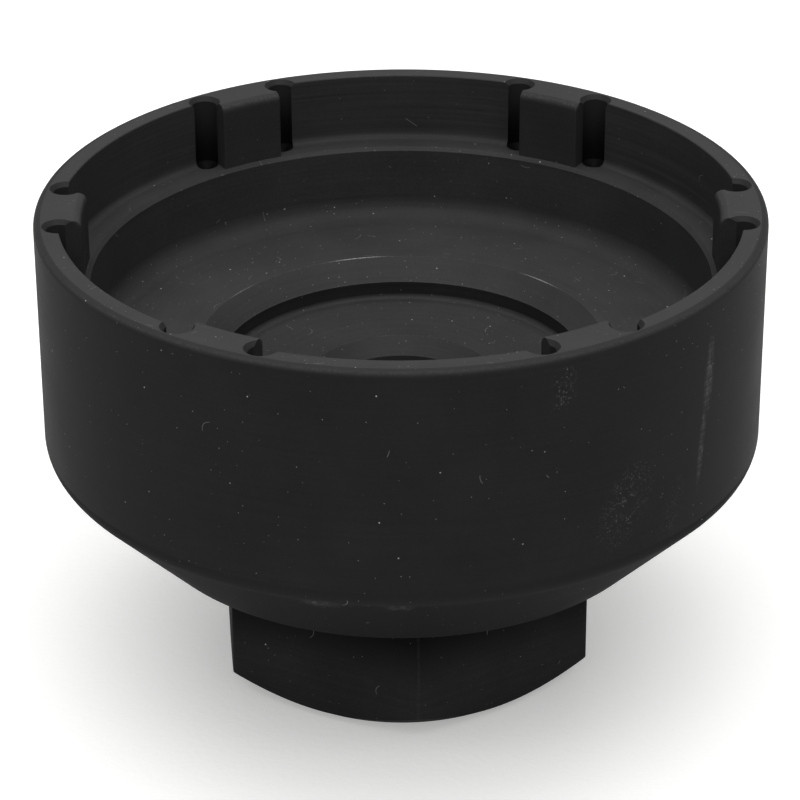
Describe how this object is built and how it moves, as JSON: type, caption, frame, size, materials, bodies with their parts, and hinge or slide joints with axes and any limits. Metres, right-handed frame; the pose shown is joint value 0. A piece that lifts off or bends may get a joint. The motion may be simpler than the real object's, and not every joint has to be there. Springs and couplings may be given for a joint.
{
  "type": "oil filter wrench",
  "caption": "Cup-shaped oil filter wrench: matte black steel cup with inward lugs round its open rim and a hexagonal boss with a square drive hole at its base.",
  "frame": {"origin": "centre of the hexagonal drive hub's end face, which is the bottom of the part", "axes": "+Z along the wrench's turning axis from the drive end to the open rim; a lug lies within a degree of +X, and a corner of the hexagon lies 4.3 degrees from -Y"},
  "size_m": [0.1, 0.1, 0.0691],
  "materials": {
    "cup_black_oxide": "matte black oxide over turned steel",
    "hub_black_oxide": "matte black oxide over milled steel"
  },
  "bodies": {
    "root": {"cup_body": "cup_black_oxide", "drive_hub": "hub_black_oxide"}
  },
  "joints": []
}
